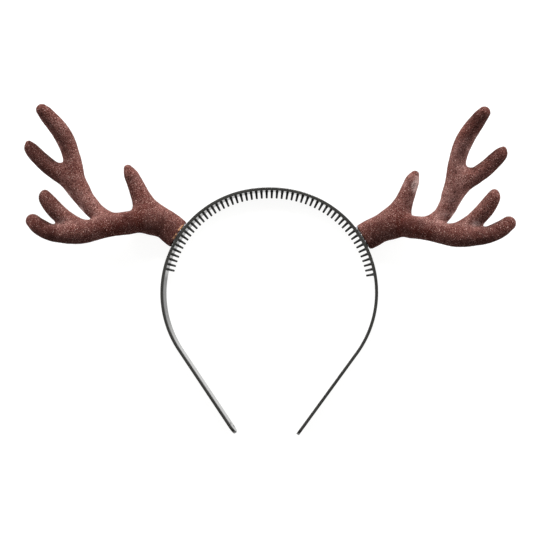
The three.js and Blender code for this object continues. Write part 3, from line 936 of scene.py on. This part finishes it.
def glue_object(name, side):
    seat = SEATS[side]
    turn = math.atan2(side * seat[0] - SIDE_CENTRE[0], seat[1] - SIDE_CENTRE[1])
    middle = np.array(
        [
            side * (SIDE_CENTRE[0] + (SIDE_RADIUS + 0.7) * math.sin(turn)),
            SIDE_CENTRE[1] + (SIDE_RADIUS + 0.7) * math.cos(turn),
            5.4,
        ]
    )
    grid = Grid(middle - (8.5, 10.5, 6.5), middle + (8.5, 10.5, 6.8), GLUE_STEP)
    x, y, z = grid.mesh()
    dx, dy = side * x - np.float32(SIDE_CENTRE[0]), y - np.float32(SIDE_CENTRE[1])
    off = np.sqrt(dx * dx + dy * dy) - np.float32(SIDE_RADIUS)
    along = (np.arctan2(dx, dy) - np.float32(turn)) * np.float32(SIDE_RADIUS)
    flat = np.stack(np.broadcast_arrays(along, off * 0 + 0.0 * z, z + 0 * along), -1).reshape(-1, 3)
    wave = soft_noise(flat, 3.4, SEED + 40 + side).reshape(grid.shape).astype(np.float32)
    middle_along, half_along, half_high = (-1.2, 6.4, 3.7) if side > 0 else (0.0, 8.0, 4.5)
    plan = np.sqrt(((along - middle_along) / half_along) ** 2 + ((z - 5.3) / half_high) ** 2)
    plate = (plan - 1.0) * 4.2 + 0.6 * wave
    slab = np.abs(off - 0.36) - 0.34
    pad = keep_soft(plate, np.broadcast_to(slab, grid.shape), 0.3)
    for angle, out, high, radius in GLUE_BEADS[side]:
        a = math.radians(angle)
        cx = side * (SIDE_CENTRE[0] + (SIDE_RADIUS + out) * math.sin(a))
        cy = SIDE_CENTRE[1] + (SIDE_RADIUS + out) * math.cos(a)
        ball = np.sqrt((x - np.float32(cx)) ** 2 + (y - np.float32(cy)) ** 2 + (z - np.float32(high)) ** 2)
        pad, _ = join_soft(pad, ball - np.float32(radius), 0.5)
    clear = np.where(np.abs(z - 5.0) < 5.04, 0.04 - off, -np.sqrt(np.maximum(np.abs(z - 5.0) - 5.04, 0) ** 2))
    pad = np.maximum(pad, np.minimum(clear, 9.0).astype(np.float32))
    antler, _ = antler_field(grid, side, antler_lines[side])
    pad = keep_soft(pad, -antler + np.float32(0.03), 0.3)
    verts, faces = surface(grid, pad)
    verts = relax(grid, pad, verts, faces, 2)
    obj = mesh_object(name, verts, faces)
    obj.data.materials.append(GLUE)
    return obj


for side, node in ((-1, "glue_left"), (1, "glue_right")):
    bead = glue_object(node + "_skin", side)
    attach(bead, "root")
    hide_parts(node)

# ------------------------------------------------------------------ floor, light, camera
scene = bpy.context.scene
bpy.ops.mesh.primitive_circle_add(vertices=96, radius=4.0, fill_type="NGON", location=(0, 0, -0.00015))
floor = bpy.context.active_object
floor.name = "floor"
floor.data.materials.append(floor_material())

world = bpy.data.worlds.new("studio")
scene.world = world
world.use_nodes = True
tree = world.node_tree
back = next(n for n in tree.nodes if n.type == "BACKGROUND")
where = add(tree, "ShaderNodeTexCoord").outputs["Generated"]
split = add(tree, "ShaderNodeSeparateXYZ")
link(tree, where, split.inputs[0])
high = span(tree, split.outputs["Y"], -0.9, 0.9, 0.0, 1.0)
link(tree, blend(tree, high, (0.14, 0.14, 0.145), (0.40, 0.40, 0.40)), back.inputs["Color"])
back.inputs["Strength"].default_value = 1.0

# One wide light above the crown and a weaker one beyond each antler:
# name, place, size, energy.
LIGHTS = (
    ("key", (0.0, 0.620, 0.360), (0.42, 0.26), 6.8),
    ("side_left", (-0.560, 0.300, 0.200), (0.26, 0.26), 3.1),
    ("side_right", (0.560, 0.300, 0.200), (0.26, 0.26), 3.4),
)
for name, place, size, energy in LIGHTS:
    light = bpy.data.lights.new(name, "AREA")
    light.shape = "RECTANGLE"
    light.size, light.size_y = size
    light.energy = energy
    lamp = bpy.data.objects.new(name, light)
    scene.collection.objects.link(lamp)
    lamp.location = place
    lamp.visible_camera = False
    lamp.rotation_euler = (-lamp.location).to_track_quat("-Z", "Y").to_euler()

yaw, pitch, roll = (math.radians(v) for v in (6.53, 2.85, 0.87))
a = np.array([math.sin(yaw) * math.cos(pitch), -math.sin(pitch), math.cos(yaw) * math.cos(pitch)])
r = np.cross((0.0, 1.0, 0.0), a)
r /= np.linalg.norm(r)
u = np.cross(a, r)
right = math.cos(roll) * r + math.sin(roll) * u
above = -math.sin(roll) * r + math.cos(roll) * u
eye = metres([a * 600.0 + np.array([1.13, 0.0, 10.0])])[0]
lens = bpy.data.cameras.new("camera")
lens.sensor_width = 36.0
lens.lens = 1000.0 / 540.0 * 36.0
camera = bpy.data.objects.new("camera", lens)
scene.collection.objects.link(camera)
camera.matrix_world = Matrix(
    [
        (right[0], above[0], a[0], eye[0]),
        (right[1], above[1], a[1], eye[1]),
        (right[2], above[2], a[2], eye[2]),
        (0.0, 0.0, 0.0, 1.0),
    ]
)
scene.camera = camera
scene.view_settings.view_transform = "Standard"
scene.view_settings.look = "None"

bpy.context.view_layer.update()
